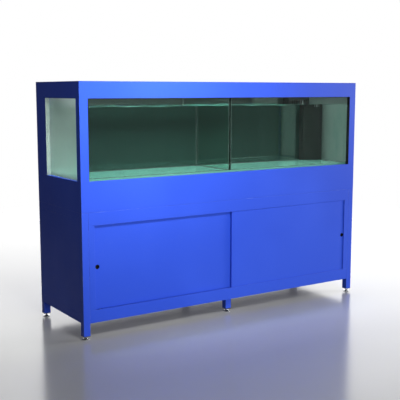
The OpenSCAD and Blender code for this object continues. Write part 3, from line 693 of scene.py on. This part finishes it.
def soft_sheet(node, thick_axis, off_low, off_high, wave, pitch=0.02):
    """A closed sheet over a CAD sheet's box. Its two faces are grids that differ by the thickness,
    and wave(u, v) moves the far face by up to a fraction of a millimetre."""
    start, end = (np.array(corner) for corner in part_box(node))
    a, b = [axis for axis in (0, 1, 2) if axis != thick_axis]
    u = np.linspace(start[a], end[a], int((end[a] - start[a]) / pitch))
    v = np.linspace(start[b], end[b], max(4, int((end[b] - start[b]) / pitch)))
    u, v = np.meshgrid(u, v, indexing="ij")
    first, second = np.zeros((*u.shape, 3)), np.zeros((*u.shape, 3))
    for side, level in ((first, start[thick_axis] + off_low), (second, end[thick_axis] - off_high)):
        side[..., a], side[..., b], side[..., thick_axis] = u, v, level
    second[..., thick_axis] -= np.abs(wave(u, v))
    piece(node + "_laid", *closed_between(first, second), node)
    print(node, "grid", u.shape)


soft_sheet("foam_mat", 2, 0.0, -skin, lambda u, v: 0.1 * MM * np.sin(u * 90) * np.sin(v * 70))
soft_sheet("rear_film", 1, skin, 0.0, lambda u, v: 0.04 * MM * np.sin(u * 9 + 2 * np.sin(v * 7)))

# %% [markdown]
# ## Silicone seams
# A tank is glued with silicone that is smoothed with a fingertip, which leaves a hollow fillet whose
# width wanders by a fraction of a millimetre. The profile is a quarter circle turned inwards, and it
# is carried along every inside corner of the glass. Where the bottom pane's edge is glued to the
# front pane, the milky bond shows through the glass as a line, painted in the foam's mint as painted light.

# %% Silicone
def bead(start, end, side_a, side_b, width):
    """A hollow fillet from start to end in the corner between two walls.

    At angle t the profile is corner + (1 - sin t) a + (1 - cos t) b, times a width that wanders."""
    start, end, side_a, side_b = map(np.array, (start, end, side_a, side_b))
    length = np.linalg.norm(end - start)
    along = np.linspace(0, 1, max(6, int(length / 0.02)))
    t = np.linspace(0, np.pi / 2, 7)
    curve = np.concatenate([(1 - np.sin(t))[:, None] * side_a + (1 - np.cos(t))[:, None] * side_b,
                            np.zeros((1, 3))])
    metres = along * length
    size = width * (1 + 0.07 * np.sin(metres * 41 + start[0] * 9) + 0.04 * np.sin(metres * 97))
    line = start + (end - start) * along[:, None]
    points = line[:, None] + size[:, None, None] * curve
    columns = points.shape[1]
    ring = np.arange(columns)
    caps = [ring.tolist(), (ring[::-1] + (len(along) - 1) * columns).tolist()]
    return points.reshape(-1, 3), grid_faces(len(along), columns, wrap=True).tolist() + caps


def corner_seams():
    """Beads in both compartments: along the floor at the front, back and ends, and up each corner."""
    width, top, front = 5 * MM, low("brace_strips").z - skin, -inner_y
    seams = []
    for x0, x1, back in ((-inner_x, -half_partition, -half_partition), (half_partition, inner_x, weir_low.x)):
        seams.append(bead((x0, front, floor_z), (x1, front, floor_z), (0, 1, 0), (0, 0, 1), width))
        seams.append(bead((x0, inner_y, floor_z), (back, inner_y, floor_z), (0, -1, 0), (0, 0, 1), width))
        for x, side in ((x0, 1), (x1, -1)):
            far = weir_low.y if x == inner_x else inner_y
            seams.append(bead((x, front, floor_z), (x, far, floor_z), (side, 0, 0), (0, 0, 1), width))
            seams.append(bead((x, front, floor_z), (x, front, top), (side, 0, 0), (0, 1, 0), width))
            if x != inner_x:
                seams.append(bead((x, inner_y, floor_z), (x, inner_y, top), (side, 0, 0), (0, -1, 0), width))
    return join_parts(seams)


def bond_line():
    """The glued front edge of the bottom pane: a thin closed strip along x, pressed into the front pane."""
    x = np.linspace(-inner_x, inner_x, 120)
    y = np.array([0, -1, -1, 0]) * skin - inner_y
    z = np.array([0, 0, 1, 1]) * (floor_z - low("bottom_pane").z) + low("bottom_pane").z
    points = np.stack([x[:, None] + 0 * y, y + 0 * x[:, None], z + 0 * x[:, None]], axis=-1)
    caps = [[0, 1, 2, 3], [4 * len(x) - 1 - corner for corner in range(4)]]
    return points.reshape(-1, 3), grid_faces(len(x), 4, wrap=True).tolist() + caps


piece("silicone_seams_smoothed", *corner_seams(), "silicone_seams")
piece("front_bond_line", *bond_line(), "silicone_seams", bond(), stands_for=False)

# %% [markdown]
# ## Window trim
# A trim covers the cut edge at the sides and the top of each window and runs back to the glass. It is
# black rubber at the front, where the opening reads as a dark line, and pale silicone at the ends. The
# lower edge stays bare, because water would collect behind a trim there. One closed profile is
# carried up, across and down. Each profile point is a path of its own, moved inwards and set back by
# its two numbers, which mitres the corners.

# %% Window trim
def inner_edges(points, axis):
    """The second smallest and second largest coordinate: the inner edge of a rectangular ring."""
    values = np.unique(np.round(points[:, axis], 4))
    return float(values[1]), float(values[-2])


def trim(name, ring, normal, along, face, glass, material):
    """A closed sweep: profile point (inset, share) gives a path inset from the opening, at
    face + share * (glass - face) along the normal axis."""
    (u0, u1), (z0, z1) = inner_edges(ring, along), inner_edges(ring, 2)
    profile = [(-0.1, 0.02), (0.5, 0.008), (1.3, 0.02), (1.7, 0.07), (1.4, 0.14), (1.2, 0.99), (-0.1, 0.99)]
    rows = []
    for inset, share in profile + profile[:1]:
        d = inset * MM
        corners = np.zeros((4, 3))
        corners[:, along] = [u0 + d, u0 + d, u1 - d, u1 - d]
        corners[:, 2] = [z0, z1 - d, z1 - d, z0]
        corners[:, normal] = face + share * (glass - face)
        rows.append(corners)
    ends = [[row * 4 + column for row in range(len(profile))] for column in (0, 3)]
    faces = grid_faces(len(rows), 4).tolist() + ends
    piece(name, np.concatenate(rows), faces, "window_gaskets", material, stands_for=False)


rings = np.array([vertex.co for vertex in frame["nodes"]["window_gaskets"].data.vertices])
at_front = rings[:, 1] < rings[:, 1].min() + 3 * MM
at_left = rings[:, 0] < rings[:, 0].min() + 3 * MM
at_right = rings[:, 0] > rings[:, 0].max() - 3 * MM
dark_trim = finishes["black_rubber"]
for name, chosen, normal, along, face, glass_face, material in (
        ("front_window_trim", at_front, 1, 0, low("front_casing").y, low("front_pane").y, dark_trim),
        ("left_window_trim", at_left, 0, 1, low("left_casing").x, low("end_panes").x, pale_trim),
        ("right_window_trim", at_right, 0, 1, high("right_casing").x, high("end_panes").x, pale_trim)):
    trim(name, rings[chosen], normal, along, face, glass_face, material)
    print(name, inner_edges(rings[chosen], along), inner_edges(rings[chosen], 2))

# %% [markdown]
# ## Levelling feet
# Each foot is turned from bar: a disc with a rounded rim, a hollow flank and a threaded stud, with a
# hexagonal lock nut run up against the leg's plug. A thread is a helix on the stud, so the radius
# swings with height minus one pitch per turn.

# %% Feet
def turned_foot(node):
    """A disc with a hollow flank, and a threaded stud. With p = the fraction of height / pitch - angle /
    one turn, the stud's radius is stud - depth * |2 p - 1| ** 1.3."""
    start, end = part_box(node)
    centre = ((start.x + end.x) / 2, (start.y + end.y) / 2, start.z)
    disc = (end.x - start.x) / 2
    stud, depth, pitch = 5.95 * MM, 0.75 * MM, 1.75 * MM
    ease, flank, hollow, shoulder = 1.4 * MM, 4.7 * MM, 11 * MM, 9 * MM
    rim = [(0, 0), (disc - ease, 0)]
    rim += [(disc - ease * (1 - math.sin(a)), ease * (1 - math.cos(a))) for a in np.linspace(0.3, 1.57, 5)]
    rim += [(disc, 3.2 * MM), (disc - 0.5 * MM, 4.2 * MM), (disc - ease, flank)]
    neck = [(disc - ease - (disc - hollow) * math.sin(a), flank + (shoulder - flank) * (1 - math.cos(a)))
            for a in np.linspace(0.2, 1.57, 7)]
    base = lathe(rim + neck + [(stud, shoulder)], centre, "z")
    steps = 40
    height = np.arange(shoulder, end.z - start.z, pitch / 7)[:, None]
    turn = np.linspace(0, 2 * np.pi, steps, endpoint=False)
    phase = np.mod(height / pitch - turn / (2 * np.pi), 1.0)
    radius = stud - depth * np.abs(2 * phase - 1) ** 1.3
    ridges = np.stack([radius * np.cos(turn), radius * np.sin(turn), height + 0 * turn], axis=-1)
    points, faces = ridges.reshape(-1, 3) + np.array(centre), grid_faces(len(height), steps, wrap=True)
    tip = [list(range(len(points) - steps, len(points)))]
    return base, (points, faces.tolist() + tip), centre

# %% Lock nut
def lock_nut(centre, low_z, high_z, half_width, bore):
    """A hexagon whose corners are turned down: the radius at each height is the smaller of the
    hexagon's, half_width / cos(angle from the middle of a flat), and a cone's."""
    turn = np.linspace(0, 2 * np.pi, 48, endpoint=False)
    to_flat = np.mod(turn, np.pi / 3) - np.pi / 6
    hexagon = half_width / np.cos(to_flat)
    chamfer, face, uncut = 1.0 * MM, half_width * 1.02, half_width * 2
    profile = [(low_z, face), (low_z + chamfer, uncut), (high_z - chamfer, uncut), (high_z, face),
               (high_z, bore), (low_z, bore), (low_z, face)]
    rows = []
    for z, cone in profile:
        radius = np.minimum(hexagon, cone)
        rows.append(np.stack([radius * np.cos(turn), radius * np.sin(turn), z + 0 * turn], axis=-1))
    points = np.concatenate(rows) + np.array([centre[0], centre[1], 0])
    return points, grid_faces(len(rows), len(turn), wrap=True)

# %% Six feet
nut_top, nut_tall, nut_half_width, nut_bore = low("leg_plugs").z - 0.5 * MM, 6 * MM, 9.4 * MM, 6.1 * MM
feet = sorted(name for name in slot_of if name.startswith("foot_"))
for node in feet:
    disc, stud, centre = turned_foot(node)
    nut = lock_nut(centre, nut_top - nut_tall, nut_top, nut_half_width, nut_bore)
    piece(node + "_turned", *join_parts([disc, stud, nut]), node)
print("feet", len(feet))

# %% [markdown]
# ## Finger pulls, rollers and the cable grommet
# These are round parts, so each is a profile turned about its axis. The cup of a pull has a rolled
# lip, a roller has a hollow groove that rides on the track's rib, and the grommet grips the rear
# panel with a waist. A turned profile keeps its roundness at any size, where a bevel would not.

# %% Arcs and finger pulls
def arc(centre, radius, start, end, steps=5):
    """Points (r, z) on a circle between two angles in degrees."""
    turn = np.radians(np.linspace(start, end, steps))
    return [(centre[0] + radius * math.cos(t), centre[1] + radius * math.sin(t)) for t in turn]


def finger_pull(node):
    """A pressed cup: up the outside of the wall, round the rolled lip, and down the inside."""
    start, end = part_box(node)
    lip, deep = (end.x - start.x) / 2, end.y - start.y
    hole, wall, roll = lip - 2.5 * MM, 1 * MM, 0.4 * MM
    profile = [(0, deep), (hole - 1 * MM, deep), (hole + wall, deep - 1.5 * MM), (hole + wall, 2 * roll)]
    profile += [(lip - roll, 2 * roll)] + arc((lip - roll, roll), roll, 90, -90)
    profile += arc((hole + 3 * roll, 3 * roll), 3 * roll, -90, -180)
    profile += arc((hole - 2 * MM, deep - wall - 2 * MM), 2 * MM, 0, 90) + [(0, deep - wall)]
    centre = ((start.x + end.x) / 2, start.y, (start.z + end.z) / 2)
    piece(node + "_pressed", *lathe(profile, centre, "y"), node)

# %% Rollers
def roller(node):
    """A bored wheel: a rounded edge, a groove that is an arc about a point on the rim, and an edge."""
    start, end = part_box(node)
    outer, width, bore, ease = (end.x - start.x) / 2, end.y - start.y, 2.05 * MM, 0.5 * MM
    profile = [(bore, 0)] + arc((outer - ease, ease), ease, -90, 0)
    profile += arc((outer + 0.1 * MM, width / 2), 2.0 * MM, 235, 125, 9)
    profile += arc((outer - ease, width - ease), ease, 0, 90) + [(bore, width), (bore, 0)]
    centre = ((start.x + end.x) / 2, start.y, (start.z + end.z) / 2)
    piece(node + "_turned", *lathe(profile, centre, "y"), node)

# %% Grommet
def grommet(node):
    """A ring with two rounded flanges and a waist between them."""
    start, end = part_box(node)
    outer, deep, hole = (end.x - start.x) / 2, end.y - start.y, 18 * MM
    ease, waist, flange = 1.6 * MM, hole + 3 * MM, 4 * MM
    profile = arc((hole + ease, ease), ease, 180, 270) + arc((outer - ease, ease), ease, -90, 0)
    profile += [(outer, flange), (waist, flange), (waist, deep - flange), (outer, deep - flange)]
    profile += arc((outer - ease, deep - ease), ease, 0, 90) + arc((hole + ease, deep - ease), ease, 90, 180)
    profile.append(profile[0])
    centre = ((start.x + end.x) / 2, start.y, (start.z + end.z) / 2)
    piece(node + "_moulded", *lathe(profile, centre, "y"), node)

# %% All round parts
for side in ("left", "right"):
    finger_pull(side + "_finger_pull")
    for end in "ab":
        roller(f"{side}_door_roller_{end}")
grommet("cable_grommet")

# %% [markdown]
# ## Filter foam
# The filter block is cut from open-celled foam with a hot wire, so its faces are flat overall and
# ragged close up. The block is six grids, one for each side of its box, whose edges are rounded off.
# Then every point is moved in by a product of short waves, which makes the pits.

# %% Filter foam
def foam_block(node, rounding, pit):
    """A rounded box with pits. With core = the point clipped to the box less rounding, and out = the
    way from core to the point, the surface is core + (rounding - pit * sines) * out / length of out."""
    start, end = (np.array(corner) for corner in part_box(node))
    half, centre = (end - start) / 2, (start + end) / 2
    parts = []
    for axis in range(3):
        for sign in (-1, 1):
            a, b = [k for k in range(3) if k != axis]
            count = [max(6, int(2 * half[k] / (4 * MM))) for k in (a, b)]
            u, v = np.meshgrid(*(np.linspace(-1, 1, n) for n in count), indexing="ij")
            points = np.zeros((*u.shape, 3))
            points[..., a], points[..., b], points[..., axis] = u * half[a], v * half[b], sign * half[axis]
            core = np.clip(points, rounding - half, half - rounding)
            out = points - core
            out /= np.linalg.norm(out, axis=-1, keepdims=True)
            points = core + out * rounding
            x, y, z = np.moveaxis(points, -1, 0)
            sines = np.sin(x * 900 + 2 * np.sin(z * 310)) * np.sin(y * 870 + x * 250)
            sines *= np.sin(z * 930 + y * 190)
            points -= out * (pit * np.clip(sines, 0, 1))[..., None]
            parts.append((points.reshape(-1, 3) + centre, grid_faces(*u.shape)))
    return join_parts(parts)


sponge_points, sponge_faces = foam_block("filter_sponge", 5 * MM, 0.9 * MM)
piece("filter_sponge_cut", sponge_points, sponge_faces, "filter_sponge", smooth=80)
print("filter foam", len(sponge_faces), "faces")

# %% [markdown]
# ## Water in the sump
# The sump is an acrylic box that holds the filter, and its water stands lower than its rim, to leave
# room for what runs down when the pump stops. It is calmer than the tank, so its ripples are smaller.

# %% Sump water
sump_low, sump_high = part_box("sump_tank")
sump_wall, sump_depth = 8 * MM - wet, 205 * MM
sump_columns = crowded(sump_low.x + sump_wall, sump_high.x - sump_wall, 0.02)
sump_far = 0 * sump_columns + sump_high.y - sump_wall
water_body("water_sump", sump_columns, sump_low.y + sump_wall, sump_far, sump_low.z + sump_depth,
           sump_low.z + sump_wall, "sump_tank", still=0.4)

# %% [markdown]
# ## Screws at the back
# The rear sheets are screwed on so that the equipment can be reached. A pan head is a flattened dome
# with a cross cut into it, so the height falls wherever a point lies close to one of two lines.

# %% Screws
def pan_head(x, y, z):
    """Height at radius r and angle a: a dome, less a cross where min(|x|, |y|) is small."""
    size, tall, half_slot, slot_depth = 4.2 * MM, 1.9 * MM, 0.55 * MM, 0.9 * MM
    r, a = np.meshgrid(np.linspace(0, 1, 8), np.linspace(0, 2 * np.pi, 24, endpoint=False), indexing="ij")
    across, up = size * r * np.cos(a), size * r * np.sin(a)
    dome = tall * (1 - r ** 2.6)
    cross = (np.minimum(np.abs(across), np.abs(up)) < half_slot) & (r < 0.62)
    dome = np.where(cross, dome - slot_depth, dome)
    points = np.stack([x + across, y + dome, z + up], axis=-1)
    return points.reshape(-1, 3), grid_faces(*r.shape, wrap=True)


def screw_rows(node, rows, count, inset):
    """A head at each of count even places along x, in rows given as shares of the sheet's height."""
    start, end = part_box(node)
    heads = [pan_head(x, end.y, start.z + (end.z - start.z) * row)
             for row in rows for x in np.linspace(start.x + inset, end.x - inset, count)]
    piece(node + "_screws", *join_parts(heads), node, finishes["zinc_steel"], stands_for=False)


screw_rows("rear_casing", (0.03, 0.5, 0.97), 9, 20 * MM)
screw_rows("rear_panel", (0.04, 0.96), 9, 60 * MM)

# %% [markdown]
# ## Studio
# The floor is a pale, slightly glossy disc that fades out with distance into an even white, so the
# horizon never shows from any side. A wide soft lamp in front lights the paint, a low strip puts a
# glint on the feet, and two small lamps with a narrow spread hang close above: one brightens the near
# top corner, and one lights the inside of the tank through its lids. A fill stands on the right, and a
# large card behind lights the floor and the back. Lamps whose mirror image would stand as a white
# patch in the glass are hidden from reflections or from the view through glass.

# %% Floor
def stage_floor():
    """A disc of radius 14 m as rings of points: x = r cos a, y = r sin a."""
    radii = np.array([0.0, 1.0, 2.0, 4.0, 8.0, 14.0])
    points, faces = lathe(np.stack([radii, 0 * radii], axis=1), (0, 0, 0), "z", 64)
    mesh = bpy.data.meshes.new("studio_floor")
    mesh.from_pydata(points.tolist(), [], faces.tolist())
    floor = bpy.data.objects.new("studio_floor", mesh)
    bpy.context.scene.collection.objects.link(floor)
    finish = Finish("studio_floor")
    finish.set("Base Color", (0.76, 0.76, 0.75)).set("IOR", 1.6)
    finish.set("Roughness", finish.noise(3.0) * 0.06 + 0.14)
    away = finish.node("ShaderNodeVectorMath", {"operation": "LENGTH"}, {0: finish.place()}, "Value")
    finish.set("Alpha", 1 - away.clear(2.4, 5.0))
    mesh.materials.append(finish.material)
    floor.visible_diffuse = False

# %% Lamp maker
def lamp(name, place, target, width, height, power, spread=180):
    """A rectangular lamp that faces its target; a small spread keeps its light off the floor."""
    data = bpy.data.lights.new(name, "AREA")
    data.shape, data.size, data.size_y = "RECTANGLE", width, height
    data.energy, data.spread = power, math.radians(spread)
    item = bpy.data.objects.new(name, data)
    bpy.context.scene.collection.objects.link(item)
    item.location = place
    item.rotation_euler = (Vector(target) - Vector(place)).to_track_quat("-Z", "Y").to_euler()
    item.visible_camera = False
    return item

# %% Sky maker
def sky(seen, lit):
    """An even white for the camera, and a weaker even light for everything else."""
    world = bpy.data.worlds.new("studio_sky")
    bpy.context.scene.world = world
    world.use_nodes = True
    tree = world.node_tree
    tree.nodes.clear()
    output = tree.nodes.new("ShaderNodeOutputWorld")
    path = tree.nodes.new("ShaderNodeLightPath")
    mix = tree.nodes.new("ShaderNodeMixShader")
    tree.links.new(path.outputs["Is Camera Ray"], mix.inputs[0])
    for slot, strength in ((1, lit), (2, seen)):
        back = tree.nodes.new("ShaderNodeBackground")
        back.inputs["Color"].default_value = (1, 1, 1, 1)
        back.inputs["Strength"].default_value = strength
        tree.links.new(back.outputs[0], mix.inputs[slot])
    tree.links.new(mix.outputs[0], output.inputs[0])

# %% Lamps and sky
stage_floor()
key = lamp("front_softbox", (0.1, -6.4, 0.9), (0.1, 0.0, 0.8), 3.0, 1.2, 190)
key.visible_glossy, key.visible_transmission = False, False
lamp("low_strip", (-1.2, -5.0, 0.35), (-0.5, 0.0, 0.1), 2.6, 0.3, 16)
near_top = lamp("near_top_softbox", (-0.85, -1.9, 2.0), (-0.6, -0.3, 1.42), 0.9, 0.4, 11.5, spread=74)
near_top.visible_glossy = False
lamp("tank_softbox", (0.0, 0.0, 2.05), (0.0, 0.0, 1.0), 1.8, 0.4, 5.5, spread=50)
lamp("right_fill", (5.4, -2.2, 1.8), (0.6, 0.0, 0.9), 2.0, 2.0, 165)
card = lamp("back_card", (4.2, 5.2, 2.1), (3.0, 0.0, 1.2), 8.0, 4.0, 225)
card.visible_transmission = False
sky(seen=1.0, lit=0.08)
scene = bpy.context.scene
scene.view_settings.view_transform = "Standard"
scene.cycles.max_bounces = 18
scene.cycles.transmission_bounces = 18
scene.cycles.transparent_max_bounces = 32
scene.cycles.sample_clamp_indirect = 4.0
scene.cycles.use_denoising = True

# %% [markdown]
